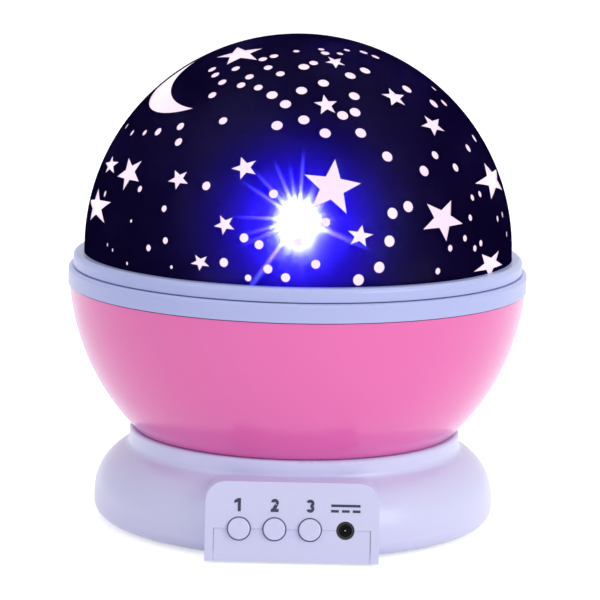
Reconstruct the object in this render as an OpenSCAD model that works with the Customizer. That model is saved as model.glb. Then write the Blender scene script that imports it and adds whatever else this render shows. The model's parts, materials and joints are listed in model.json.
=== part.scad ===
// Star night light projector: a domed star mask over a turning bowl on a round base.
// Millimetres, +Z up. The turning axis is Z, the floor is z = 0 and the panel faces -Y.

/* [Dome] */
// Outer radius of the dome's dark skin
dome_r = 61.4; // [40:0.1:90]
// Height of the dome sphere's centre above its ring
dome_up = 1.4; // [0.5:0.1:6]
// Thickness of the dark skin
skin_t = 0.4; // [0.3:0.1:1]
// Thickness of the clear shell
shell_t = 1.8; // [1:0.1:3]
// How far the dome ring stands out past the dome
ring_out = 3.1; // [1.8:0.1:5]
// Height of the dome ring
ring_h = 3.7; // [2:0.1:8]
// Wall of the collar under the dome ring
collar_t = 2.1; // [1.2:0.1:3]
// Depth of the collar in the rim
collar_deep = 4.4; // [3:0.1:6]
// Size of the star pattern's holes beside the listed sizes
star_scale = 1; // [0.5:0.05:1.2]
// Waist of a star against its tips
star_waist = 0.42; // [0.3:0.01:0.7]

/* [Bowl] */
// Width of the rim band
rim_wall = 3.9; // [2.5:0.1:8]
// Height of the rim band
rim_h = 5.1; // [3:0.1:10]
// How far the bowl's sphere stands in from the rim band
bowl_step = 0.2; // [0:0.05:1]
// Wall of the bowl
bowl_wall = 2; // [1.2:0.1:3]
// Depth of the bowl's top edge under its sphere's centre
bowl_mouth = 5.3; // [1:0.1:10]
// How far the bowl's foot stands in from the neck
foot_in = 1.4; // [0.5:0.1:4]
// Thickness of the bowl's floor
floor_t = 2; // [1.2:0.1:4]

/* [Base] */
// Radius of the base's skirt
base_r = 57.8; // [45:0.1:90]
// Radius of the base's round shoulder
shoulder_r = 15; // [8:0.5:30]
// Height of the shoulder's centre
shoulder_z = 7.1; // [5:0.1:15]
// Radius of the neck
neck_r = 47.8; // [40:0.1:70]
// Height of the neck above the deck
neck_h = 10.5; // [9:0.1:20]
// Hollow curve between neck and shoulder
neck_fillet = 2; // [1:0.5:6]
// Round of the skirt's lower edge
skirt_round = 3.8; // [1:0.1:5]
// Wall of the base
base_wall = 2; // [1.2:0.1:4]
// Underside of the deck that carries the turntable
deck_z = 15.8; // [15.6:0.1:24]
// Thickness of the deck
deck_t = 2; // [1.5:0.1:4]
// Gap between the skirt and the floor
floor_gap = 0.8; // [0.4:0.1:3]

/* [Panel] */
// Half the width of the button panel
panel_half = 23.8; // [22:0.1:35]
// How far the panel's foot stands out past the skirt
panel_out = 2.3; // [1.5:0.1:5]
// Backward lean of the panel in degrees
panel_lean = 14; // [0:1:20]
// Top of the panel box
panel_top = 22; // [18:0.1:35]
// Round of the panel's top corners
panel_round = 5.5; // [1:0.5:8]
// Thickness of the panel's cheeks
cheek_t = 2.3; // [1:0.1:4]
// Height of the panel's parting line
parting_z = 9.5; // [8:0.1:16]
// Spacing of the buttons and the jack
control_pitch = 9.7; // [8:0.1:14]
// Radius of a button cap
button_r = 3; // [2:0.1:4]
// How far a button cap stands out
button_out = 1.2; // [0.6:0.1:3]
// Radius of the jack's bore
jack_r = 1.8; // [1:0.05:2.5]

/* [Turntable] */
// Gear tooth module
gear_module = 0.8; // [0.5:0.1:1.5]
// Teeth of the bowl gear
bowl_teeth = 60; // [40:1:90]
// Teeth of the pinion
pinion_teeth = 12; // [10:1:24]
// Tooth pressure angle in degrees
pressure_angle = 25; // [14.5:0.5:30]
// Play between the teeth
backlash = 0.15; // [0.05:0.01:0.4]
// Radius of the motor's can
motor_can = 12; // [8:0.5:16]
// Radius of the motor's shaft
shaft_r = 1; // [0.75:0.05:2]
// Depth of the pinion's shaft in the motor
shaft_deep = 7.5; // [4:0.1:10]
// Radius of the fixed spindle
spindle_r = 9; // [7.5:0.5:14]
// Radial play of the hub on the spindle
hub_play = 0.08; // [0.02:0.01:0.1]
// Height of the spindle above the bowl's underside
spindle_up = 10; // [6:0.1:20]

/* [Lamp] */
// Radius of the lamp column
column_r = 6; // [5.5:0.5:9]
// Radius of the lamp head
head_r = 13; // [11:0.5:18]
// Depth of the lamp head's top under the dome's centre
head_under = 1; // [0:0.5:10]
// Radius of one LED
led_r = 2.5; // [1.5:0.1:3]
// Ring radius of the coloured LEDs
led_ring = 7.6; // [6:0.1:9]

/* [Batteries] */
// Radius of a cell
cell_r = 5.15; // [4:0.05:8]
// Length of a cell with its nub
cell_len = 44.2; // [30:0.1:60]
// Spacing of the cells
cell_pitch = 11.5; // [10.8:0.1:18]

/* [Hidden] */
$fn = 96;
gap = 0.3;
eps = 0.01;
big = 200;

cover_t = 2;
cover_top = floor_gap + cover_t;
deck_top = deck_z + deck_t;
neck_top = deck_z + neck_h;
neck_in = neck_r - base_wall - 1.6;
shoulder_x = base_r - shoulder_r;
fillet_x = neck_r + neck_fillet;
fillet_z = shoulder_z
    + sqrt(pow(shoulder_r + neck_fillet, 2) - pow(fillet_x - shoulder_x, 2));
skirt_x = base_r - skirt_round;
skirt_z = floor_gap + skirt_round;
cover_r = skirt_x - gap;

panel_y = base_r + panel_out;
panel_wall = 2;
panel_near = base_r - 10.8;
tongue_half = panel_half - cheek_t - 0.1;
control_up = parting_z / cos(panel_lean);
button_hole = button_r + gap;
button_flange = 1;
jack_x = 1.5 * control_pitch;
jack_nose = jack_r + 0.55;
jack_mouth = 2.4;
switch_h = 4;
switch_half = 3;
board_t = 1.6;
button_travel = 0.8;
board_z = -(panel_wall + button_flange + button_travel + 0.9 + switch_h + board_t);
board_half = panel_half - 2.8;
board_low = control_up - switch_half - 0.9;
board_high = control_up + 6.4;
post_x = panel_half - 4.6;
post_up = control_up + 4.6;

pitch_r = gear_module * bowl_teeth / 2;
pinion_r = gear_module * pinion_teeth / 2;
motor_y = -(pitch_r + pinion_r);
motor_len = deck_z - cover_top - gap;
motor_ear = 1.275 * motor_can;

washer_z = deck_top + 1.5;
washer_t = 1.2;
hub_z = washer_z + washer_t + gap;
hub_wall = 2.8;
hub_r = spindle_r + hub_wall;
gear_z = hub_z + gap;
gear_t = 3.6;
spindle_flange = spindle_r + 7.5;
spindle_ring = spindle_r + 5.2;
cap_ring = (spindle_r + column_r) / 2 + 0.1;
cap_t = 1.6;
wire_hole = column_r - 1.8;
wire_ring = wire_hole - 0.8;
third_turns = [90, 210, 330];

collar_r = dome_r + gap;
rim_in = collar_r + gap;
rim_r = rim_in + rim_wall;
bowl_r = rim_r - bowl_step;
bowl_in = bowl_r - bowl_wall;
bowl_foot_r = neck_r - foot_in;
bowl_floor = neck_top + gap;
bowl_z = bowl_floor + sqrt(pow(bowl_r, 2) - pow(bowl_foot_r, 2));
bowl_top = bowl_z - bowl_mouth;
spindle_top = bowl_floor + spindle_up;

rim_z = bowl_top + gap;
rim_top = rim_z + rim_h;
ledge_z = bowl_top - 3.7;
ledge_t = 1.8;
tongue_r = sqrt(pow(bowl_in, 2) - pow(bowl_z - ledge_z, 2)) - 0.2;
tongue_t = 1.9;
tray_wall = 1.6;
tray_z = ledge_z + ledge_t + gap;
tray_r = tongue_r - tongue_t - gap;
tray_screw_r = tongue_r - 3.5;
tray_drop = 5.6;
tray_in = head_r + 2;
rib_turns = [30, 150, 270];

dome_ring_z = rim_top + gap;
dome_ring_r = dome_r + ring_out;
dome_ring_top = dome_ring_z + ring_h;
collar_z = dome_ring_z - collar_deep;
dome_z = dome_ring_top + dome_up;
skin_in = dome_r - skin_t;
shell_in = skin_in - shell_t;
shell_foot = dome_ring_z + 1.3;
head_z = dome_z - head_under;

cell_z = cover_top + 0.6 + cell_r;
bay_x = cell_len / 2 + 2.9;
bay_half = 1.5 * cell_pitch;
bay_wall = 1.5;
bay_roof = cell_z + cell_r + gap;
door_x = bay_x + 2.2;
door_play = 0.4;
door_back = sqrt(pow(cover_r - 1.2, 2) - pow(door_x + door_play, 2)) - door_play;
bay_y = door_back - bay_half - 2.45;
door_front = bay_y - bay_half - 1.85;
door_z = floor_gap + 0.1;
door_t = 1.6;
tab_x = door_x - 11.2;
tab_half = 4;
latch_y = door_back + 2.8;

foot_r = 4.5;
foot_ring = cover_r - 5.2;
foot_turn = acos((door_x + foot_r + 2.6) / foot_ring);
foot_turns = [foot_turn, 180 - foot_turn, 180 + foot_turn, 360 - foot_turn];
foot_top = 1.9;
screw_turns = [22, 158, 202, 338];
screw_ring = cover_r - 6.7;

// The pattern's sizes are listed in sixtieths of the dome's radius
sky_unit = star_scale * dome_r / 60;

// Stars as [turn round the dome, height angle, tip radius, own turn, stretch sideways]
stars = [
    [9, 24, 8, 9, 1], [41.5, 14.5, 6, 34, 1.3], [72.5, 22, 5.5, -7, 2.4],
    [-57, 23.5, 5.2, 36, 1.2], [-72, 12.5, 5.2, -14, 2.3],
    [61, 1, 4, -33, 2.4], [-48.5, 67.5, 6.1, 28, 1.4],
    [21, 65.5, 3.4, -19, 0.9], [9.5, 48, 3.8, -4, 0.9], [40.5, 50, 3.8, 7, 1.1],
    [51, 40, 3.6, -13, 1.4], [-71.5, 24, 2.9, -19, 2.3],
    [-36, 24, 3, 36, 1.2], [-16, 28.5, 3.4, -25, 1.1],
    [-19.5, 13.5, 2.8, -31, 1.1], [16, 11.5, 3.1, 11, 1.2],
    [-25.5, 3.5, 2.3, -33, 1.3]
];

// Round holes as [turn round the dome, height angle], in four sizes
dots_large = [
    [1, 63], [10, 56], [25, 59], [36, 61], [0, 53], [-12, 51], [-6, 48],
    [22, 51], [51.5, 52.5], [61, 46.5], [15, 44.5], [20, 45.5], [1, 43],
    [-8, 41], [8, 39], [20, 39], [27, 32], [38.5, 27.5], [25.5, 17],
    [30.5, 18.5], [24, 10], [21, 3.5], [15.5, 0.5], [88, 57]
];
dots_middle = [
    [-26, 66], [-20, 68], [55, 70], [59, 67], [-52.5, 59], [-46, 57],
    [-38, 54.5], [-37.5, 60.5], [-26, 57.5], [-27.5, 54], [-19, 53.5],
    [-19, 62], [-11, 59.5], [7, 65], [18, 70.5], [-38, 49.5], [70, 46],
    [-27.5, 41.5], [-43.5, 38.5], [-41, 34], [-52.5, 36], [74, 34], [64, 32],
    [45, 31.5], [52, 27.5], [-26.5, 23], [-7, 22], [7, 15], [-14, 10.5],
    [-10, 9], [0, 10], [-19, 4], [-7.5, 3], [-3, 1], [4.5, 4.5]
];
dots_small = [
    [-5, 71.5], [17, 73], [30, 70], [41, 72], [75, 51], [-78, 35], [-68, 34],
    [-59.5, 35], [-49.5, 20], [-38.5, 16], [-67.5, 16.5], [55.5, 19],
    [60, 19.5], [52.5, 14], [68, 12], [73, 12.5], [75, 7], [49, 9], [53, 6],
    [56, 7], [43, 7], [-36.5, 8], [-42, 5.5], [-12.5, 0.5], [38.5, 1.5]
];
dots_tiny = [[-50, 11.5], [-60, 4], [-57, 3], [-50, 0.5], [-41, 0], [-34, 1.5]];
dot_sets = [
    [1.5, dots_large], [1.2, dots_middle], [0.9, dots_small], [0.5, dots_tiny]
];

// Moon as [turn, height angle, radius] of the disc and of the disc that bites it
moon_disc = [-60, 61, 20];
moon_bite = [-42, 64, 20];

// Turns at which the stars and round holes repeat; the moon is cut once
sky_turns = [0, 180];

/* ---- helpers ---- */

// Places its children on the panel's face: x along it, y up it, z out of it.
module on_panel(x = 0, up = 0, out = 0) {
    translate([0, -panel_y, 0])
        rotate([90 - panel_lean, 0, 0])
            translate([x, up, out])
                children();
}

// Places its children on the dome's sphere with z pointing outwards.
module on_dome(turn, height) {
    translate([0, 0, dome_z])
        rotate([0, 0, turn])
            rotate([90 - height, 0, 0])
                children();
}

// A ring of rectangular section.
module ring(outer, inner, low, high) {
    translate([0, 0, low])
        difference() {
            cylinder(r = outer, h = high - low);
            translate([0, 0, -1])
                cylinder(r = inner, h = high - low + 2);
        }
}

// A box by its limits.
module span(x0, x1, y0, y1, z0, z1) {
    translate([x0, y0, z0])
        cube([x1 - x0, y1 - y0, z1 - z0]);
}

// A round bar between two heights.
module bar(radius, low, high) {
    translate([0, 0, low])
        cylinder(r = radius, h = high - low);
}

// A pan-head screw that points up, its head's seat at z = 0.
module screw_up(shank, length, head, head_h) {
    cylinder(r = shank, h = length);
    difference() {
        bar(head, -head_h, 0);
        translate([0, 0, -head_h])
            cube([head * 1.2, head * 0.25, head_h], center = true);
        translate([0, 0, -head_h])
            cube([head * 0.25, head * 1.2, head_h], center = true);
    }
}

function involute(a) = tan(a) * 180 / PI - a;
function flank_angle(r, rp, thick) =
    let (rb = rp * cos(pressure_angle))
    thick / rp * 90 / PI + involute(pressure_angle)
        - (r > rb ? involute(acos(rb / r)) : 0);

// Outline of a spur gear with involute flanks.
function gear_points(teeth) =
    let (
        rp = gear_module * teeth / 2,
        tip = rp + 0.8 * gear_module,
        root = rp - gear_module,
        thick = PI * gear_module / 2 - backlash,
        steps = 4
    )
    [
        for (i = [0 : teeth - 1], side = [-1, 1], k = [0 : steps])
            let (
                n = side < 0 ? k : steps - k,
                r = root + (tip - root) * n / steps,
                a = i * 360 / teeth + side * flank_angle(r, rp, thick)
            )
            r * [cos(a), sin(a)]
    ];

// A five-pointed star, turned clockwise and then stretched sideways.
module star_2d(tip, own_turn, stretch) {
    polygon([
        for (i = [0 : 9])
            let (a = own_turn + i * 36)
            (i % 2 == 0 ? tip : tip * star_waist) * [stretch * sin(a), cos(a)]
    ]);
}

/* ---- dome ---- */

// Half circle over a straight foot, turned into a dome.
module dome_solid(radius, foot) {
    rotate_extrude()
        union() {
            intersection() {
                translate([0, dome_z])
                    circle(r = radius);
                translate([0, dome_z - eps])
                    square([radius + 1, radius + 2]);
            }
            translate([0, foot])
                square([radius, dome_z - foot]);
        }
}

module star_cut(turn, height, tip, own_turn, stretch) {
    on_dome(turn, height)
        translate([0, 0, dome_r - 3])
            linear_extrude(height = 5)
                star_2d(tip * sky_unit, own_turn, stretch);
}

module disc_cut(turn, height, radius, deep) {
    on_dome(turn, height)
        translate([0, 0, dome_r - deep])
            cylinder(r = radius * sky_unit, h = deep + 3);
}

module moon_cut() {
    difference() {
        disc_cut(moon_disc[0], moon_disc[1], moon_disc[2], 6);
        disc_cut(moon_bite[0], moon_bite[1], moon_bite[2], 12);
    }
}

module sky_cuts() {
    for (s = stars)
        star_cut(s[0], s[1], s[2], s[3], s[4]);
    for (set = dot_sets, d = set[1])
        disc_cut(d[0], d[1], set[0], 3);
}

module dome_skin() {
    color([0.04, 0.01, 0.2])
        difference() {
            dome_solid(dome_r, shell_foot);
            dome_solid_inside();
            for (t = sky_turns)
                rotate([0, 0, t])
                    sky_cuts();
            moon_cut();
        }
}

module dome_solid_inside() {
    rotate_extrude()
        union() {
            intersection() {
                translate([0, dome_z])
                    circle(r = skin_in);
                translate([0, dome_z - eps])
                    square([dome_r, dome_r]);
            }
            translate([0, shell_foot - 1])
                square([skin_in, dome_z - shell_foot + 1]);
        }
}

module dome_shell() {
    color([0.98, 0.93, 1, 0.8])
        difference() {
            dome_solid(skin_in, shell_foot);
            rotate_extrude()
                union() {
                    intersection() {
                        translate([0, dome_z])
                            circle(r = shell_in);
                        translate([0, dome_z - eps])
                            square([dome_r, dome_r]);
                    }
                    translate([0, shell_foot - 1])
                        square([shell_in, dome_z - shell_foot + 1]);
                }
        }
}

module dome_ring() {
    lip = 1.3;
    color([0.75, 0.79, 0.93]) {
        rotate_extrude()
            union() {
                translate([shell_in - 1.3, dome_ring_z])
                    square([dome_ring_r - shell_in + 1.3 - lip, shell_foot - dome_ring_z]);
                translate([dome_r + 0.1, dome_ring_z])
                    square([
                        dome_ring_r - dome_r - 0.1 - lip,
                        dome_ring_top - dome_ring_z
                    ]);
                translate([dome_ring_r - lip - eps, dome_ring_z])
                    square([lip + eps, dome_ring_top - lip - dome_ring_z]);
                intersection() {
                    translate([dome_ring_r - lip, dome_ring_top - lip])
                        circle(r = lip);
                    translate([dome_ring_r - lip - eps, dome_ring_top - lip - eps])
                        square([lip + 1, lip + 1]);
                }
                translate([collar_r - collar_t, collar_z])
                    square([collar_t, collar_deep + eps]);
            }
        for (t = rib_turns)
            rotate([0, 0, t])
                span(
                    collar_r - 0.5, collar_r + 1.1, -2, 2,
                    collar_z + 0.5, dome_ring_z - 0.7
                );
    }
}

/* ---- bowl ---- */

module bowl() {
    color([0.92, 0.4, 0.66])
        rotate_extrude()
            union() {
                difference() {
                    intersection() {
                        translate([0, bowl_z])
                            circle(r = bowl_r);
                        translate([0, bowl_floor])
                            square([bowl_r + 1, bowl_top - bowl_floor]);
                    }
                    intersection() {
                        translate([0, bowl_z])
                            circle(r = bowl_in);
                        translate([-1, bowl_floor + floor_t])
                            square([bowl_r + 1, bowl_r]);
                    }
                    translate([-1, bowl_floor - 1])
                        square([spindle_r + hub_play + 1, floor_t + 2]);
                }
                translate([spindle_r + hub_play, hub_z])
                    square([hub_wall - hub_play, spindle_top - gap - hub_z]);
                translate([neck_in - 2.3, bowl_floor - 2.6])
                    square([1.6, 2.8]);
            }
}

module rim_ring() {
    lip = 0.9;
    color([0.78, 0.82, 0.95])
        difference() {
            rotate_extrude()
                union() {
                    translate([rim_in, rim_z])
                        square([rim_r - rim_in - lip, rim_top - rim_z]);
                    translate([rim_r - lip - eps, rim_z])
                        square([lip + eps, rim_top - lip - rim_z]);
                    intersection() {
                        translate([rim_r - lip, rim_top - lip])
                            circle(r = lip);
                        translate([rim_r - lip - eps, rim_top - lip - eps])
                            square([lip + 1, lip + 1]);
                    }
                    translate([tongue_r - tongue_t, ledge_z])
                        square([tongue_t, rim_z + 0.7 - ledge_z]);
                    translate([tongue_r - 4.9, ledge_z])
                        square([4.9 - tongue_t + eps, ledge_t]);
                }
            for (t = rib_turns) {
                rotate([0, 0, t])
                    span(
                        rim_in - 1, collar_r + 1.5, -2.4, 2.4,
                        collar_z + 0.1, rim_top + 1
                    );
                rotate([0, 0, t + 60])
                    translate([tray_screw_r, 0, 0])
                        bar(0.6, ledge_z - 1, tray_z);
            }
        }
}

module light_tray() {
    low = tray_z - tray_drop;
    inner = tray_in + tray_wall;
    flat = tray_r - 8.2;
    color([0.95, 0.95, 0.98])
        difference() {
            rotate_extrude()
                polygon([
                    [tray_in, low], [tray_in, low + 3.2], [inner, low + 3.2],
                    [inner, low + tray_wall], [flat, tray_z + tray_wall],
                    [tray_r, tray_z + tray_wall], [tray_r, tray_z],
                    [flat + 0.5, tray_z], [inner, low]
                ]);
            for (t = rib_turns)
                rotate([0, 0, t + 60])
                    translate([tray_screw_r, 0, 0])
                        bar(0.75, low, dome_z);
        }
}

module tray_screws() {
    color([0.7, 0.72, 0.75])
        for (t = rib_turns)
            rotate([0, 0, t + 60])
                translate([tray_screw_r, 0, tray_z + tray_wall])
                    mirror([0, 0, 1])
                        screw_up(0.55, 3.6, 1.2, 0.7);
}

module bowl_gear() {
    color([0.93, 0.93, 0.9]) {
        difference() {
            translate([0, 0, gear_z])
                linear_extrude(height = gear_t)
                    polygon(gear_points(bowl_teeth));
            bar(hub_r, 0, big);
        }
        ring(hub_r + 5.2, hub_r, gear_z + gear_t - eps, bowl_floor);
    }
}

/* ---- turntable drive ---- */

module spindle() {
    color([0.85, 0.86, 0.88])
        difference() {
            union() {
                bar(spindle_flange, deck_top, washer_z);
                bar(spindle_r, deck_top, spindle_top);
            }
            bar(column_r + 0.05, deck_top + 1, big);
            bar(wire_hole, 0, big);
            for (t = third_turns)
                rotate([0, 0, t]) {
                    translate([spindle_ring, 0, 0])
                        bar(1.1, 0, big);
                    translate([cap_ring, 0, 0])
                        bar(0.75, spindle_top - 5.3, big);
                }
        }
}

module spindle_screws() {
    color([0.7, 0.72, 0.75])
        for (t = third_turns)
            rotate([0, 0, t])
                translate([spindle_ring, 0, washer_z])
                    mirror([0, 0, 1])
                        screw_up(1, 3.2, 1.8, 0.9);
}

module thrust_washer() {
    color([0.96, 0.96, 0.94])
        ring(hub_r - 0.2, spindle_r + 0.1, washer_z, washer_z + washer_t);
}

module retaining_ring() {
    color([0.85, 0.86, 0.88])
        difference() {
            ring(hub_r + 0.2, column_r + 0.1, spindle_top, spindle_top + cap_t);
            for (t = third_turns)
                rotate([0, 0, t])
                    translate([cap_ring, 0, 0])
                        bar(0.8, 0, big);
        }
}

module retaining_screws() {
    color([0.7, 0.72, 0.75])
        for (t = third_turns)
            rotate([0, 0, t])
                translate([cap_ring, 0, spindle_top + cap_t])
                    mirror([0, 0, 1])
                        screw_up(0.7, 5, 1.3, 0.8);
}

module motor() {
    top = deck_z;
    color([0.72, 0.74, 0.77])
        translate([0, motor_y, 0])
            difference() {
                union() {
                    bar(motor_can, top - motor_len, top - 0.2);
                    bar(3.4, top - 1, top);
                    span(
                        -motor_ear - 2.3, motor_ear + 2.3, -3.5, 3.5,
                        top - 1, top
                    );
                }
                bar(shaft_r + 0.06, top - shaft_deep - 0.5, big);
                for (side = [-1, 1])
                    translate([side * motor_ear, 0, 0])
                        bar(1.1, 0, big);
            }
}

module motor_screws() {
    color([0.7, 0.72, 0.75])
        for (side = [-1, 1])
            translate([side * motor_ear, motor_y, deck_z - 1])
                screw_up(1, 2.7, 1.8, 0.9);
}

module pinion() {
    color([0.93, 0.88, 0.6])
        translate([0, motor_y, 0]) {
            translate([0, 0, gear_z - 0.3])
                rotate([0, 0, 180 / pinion_teeth])
                    linear_extrude(height = gear_t + 0.6)
                        polygon(gear_points(pinion_teeth));
            bar(shaft_r, deck_z - shaft_deep, gear_z + gear_t + 0.6);
        }
}

/* ---- lamp ---- */

module lamp_column() {
    color([0.9, 0.9, 0.94])
        difference() {
            bar(column_r, deck_top + 1, head_z - 4);
            bar(wire_hole, 0, big);
        }
}

module lamp_head() {
    color([0.95, 0.95, 0.98])
        difference() {
            union() {
                translate([0, 0, head_z - 10])
                    cylinder(r1 = column_r + 1.5, r2 = head_r, h = 6);
                bar(head_r, head_z - 4, head_z + 1.2);
                bar(column_r + 1.5, head_z - 14, head_z - 9.9);
            }
            bar(column_r + 0.05, 0, head_z - 4);
            bar(wire_hole, 0, big);
            bar(head_r - 1, head_z, big);
        }
}

module led_board() {
    color([0.93, 0.95, 0.93])
        difference() {
            bar(head_r - 1.1, head_z, head_z + 1.2);
            for (t = [0 : 90 : 270])
                rotate([0, 0, t])
                    translate([wire_ring, 0, 0])
                        bar(0.6, 0, big);
        }
}

module led(height) {
    cylinder(r = led_r + 0.4, h = 1);
    cylinder(r = led_r, h = height - led_r);
    translate([0, 0, height - led_r])
        sphere(r = led_r);
}

module led_white() {
    color([1, 1, 1])
        translate([0, 0, head_z + 1.2])
            led(8.6);
}

module side_led(turn) {
    rotate([0, 0, turn])
        translate([led_ring, 0, head_z + 1.2])
            led(7);
}

module led_red() {
    color([0.95, 0.3, 0.3])
        side_led(90);
}

module led_green() {
    color([0.4, 0.9, 0.5])
        side_led(210);
}

module led_blue() {
    color([0.3, 0.4, 0.95])
        side_led(330);
}

module lamp_wires() {
    wire_r = 0.45;
    low = deck_z - 0.2;
    color([0.85, 0.15, 0.15])
        for (i = [0 : 3])
            rotate([0, 0, i * 90])
                translate([wire_ring, 0, 0])
                    bar(wire_r, low, head_z + 1.6);
}

/* ---- base ---- */

// Half section of the base's outside, drawn in by a wall's thickness.
module base_section(inset = 0) {
    difference() {
        union() {
            intersection() {
                translate([shoulder_x, shoulder_z])
                    circle(r = shoulder_r - inset);
                translate([0, shoulder_z - eps])
                    square([base_r, big]);
            }
            translate([0, shoulder_z - eps])
                square([shoulder_x + eps, shoulder_r - inset]);
            translate([0, skirt_z])
                square([base_r - inset, shoulder_z - skirt_z]);
            intersection() {
                translate([skirt_x, skirt_z])
                    circle(r = skirt_round - inset);
                translate([0, floor_gap])
                    square([base_r, skirt_z - floor_gap + eps]);
            }
            translate([0, floor_gap - (inset > 0 ? 1 : 0)])
                square([skirt_x, skirt_z - floor_gap + 1 + eps]);
        }
        translate([-1, inset > 0 ? deck_z : neck_top])
            square([base_r, big]);
    }
}

// The neck with its lip and the hollow curve down to the shoulder.
module neck_section() {
    lip = 0.8;
    touch = shoulder_r / (shoulder_r + neck_fillet);
    translate([0, deck_z])
        square([neck_r, neck_top - lip - deck_z]);
    translate([0, neck_top - lip - eps])
        square([neck_r - lip, lip + eps]);
    translate([neck_r - lip, neck_top - lip])
        circle(r = lip);
    difference() {
        translate([neck_r - eps, deck_z])
            square([
                (fillet_x - shoulder_x) * touch + shoulder_x - neck_r + eps,
                fillet_z - deck_z
            ]);
        translate([fillet_x, fillet_z])
            circle(r = neck_fillet);
    }
}

// The base's outside with the well above the deck.
module base_round() {
    rotate_extrude()
        difference() {
            union() {
                base_section();
                neck_section();
            }
            translate([-1, deck_top])
                square([neck_in + 1, big]);
        }
}

// The room under the deck and the shoulder, less the bosses that stand in it.
module base_cavity() {
    difference() {
        rotate_extrude()
            union() {
                base_section(base_wall);
                intersection() {
                    translate([shoulder_x, shoulder_z])
                        circle(r = shoulder_r - base_wall);
                    translate([neck_in + base_wall, deck_z - eps])
                        square([shoulder_r + base_wall, shoulder_r]);
                }
            }
        for (t = screw_turns)
            rotate([0, 0, t])
                translate([screw_ring, 0, 0])
                    bar(3.6, cover_top + 2, big);
    }
}

// The panel box's front outline with rounded top corners.
module panel_outline(inset = 0) {
    half = panel_half - inset;
    top = panel_top - inset;
    corner = panel_round - inset;
    translate([-half, floor_gap - (inset > 0 ? 1 : 0)])
        square([2 * half, top - corner - floor_gap + (inset > 0 ? 1 : 0)]);
    translate([-half + corner, floor_gap])
        square([2 * (half - corner), top - floor_gap]);
    for (side = [-1, 1])
        translate([side * (half - corner), top - corner])
            circle(r = corner);
}

// A block of the panel's outline between two distances from the axis, cut at the lean.
module panel_block(inset, near, depth) {
    intersection() {
        translate([0, -near, 0])
            rotate([90, 0, 0])
                linear_extrude(height = panel_y + 5 - near)
                    panel_outline(inset);
        behind_panel(depth);
    }
}

module control_holes(deep = 6) {
    for (i = [-1.5, -0.5, 0.5])
        on_panel(i * control_pitch, control_up, -deep)
            cylinder(r = button_hole, h = deep + 2);
    on_panel(jack_x, control_up, -deep)
        cylinder(r = jack_nose + 0.15, h = deep + 2);
}

module base_shell() {
    color([0.86, 0.85, 0.96])
        difference() {
            union() {
                difference() {
                    union() {
                        base_round();
                        panel_block(0, panel_near, 0);
                    }
                    base_cavity();
                    panel_block(base_wall, panel_near + 1.6, panel_wall);
                    intersection() {
                        panel_block(base_wall, panel_near - 7, panel_wall);
                        span(-base_r, base_r, -panel_y, -panel_near + 7, -1, deck_z);
                    }
                    span(
                        -tongue_half - 0.1, tongue_half + 0.1,
                        -panel_y - 4, -panel_near + 7, -1, parting_z + 0.05
                    );
                }
                for (side = [-1, 1])
                    on_panel(side * post_x, post_up, board_z + board_t)
                        cylinder(r = 1.6, h = -board_z - board_t - 1.5);
            }
            control_holes();
            for (t = screw_turns)
                rotate([0, 0, t])
                    translate([screw_ring, 0, 0])
                        bar(1.25, 0, deck_z - 2.5);
            bar(wire_hole, 0, neck_top);
            translate([0, motor_y, 0])
                bar(3.6, deck_z - 1, neck_top);
            for (side = [-1, 1]) {
                translate([side * motor_ear, motor_y, 0])
                    bar(1.05, deck_z - 1, neck_top);
                on_panel(side * post_x, post_up, board_z)
                    cylinder(r = 0.7, h = -board_z - 2.6);
            }
            for (t = third_turns)
                rotate([0, 0, t])
                    translate([spindle_ring, 0, 0])
                        bar(1.05, deck_z - 1, neck_top);
        }
}

// Everything behind the panel's face by a distance.
module behind_panel(depth) {
    on_panel(0, 0, -depth)
        span(-big, big, -big, big, -big, 0);
}

// The panel's lower half: a floor with a leaning front wall.
module tongue() {
    recess = 0.3;
    difference() {
        intersection() {
            span(
                -tongue_half, tongue_half, -panel_y - 4, -panel_near + 7,
                floor_gap, parting_z - 0.05
            );
            behind_panel(recess);
        }
        intersection() {
            span(-base_r, base_r, -panel_y - 4, 0, cover_top, big);
            behind_panel(panel_wall + recess);
        }
    }
}

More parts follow.
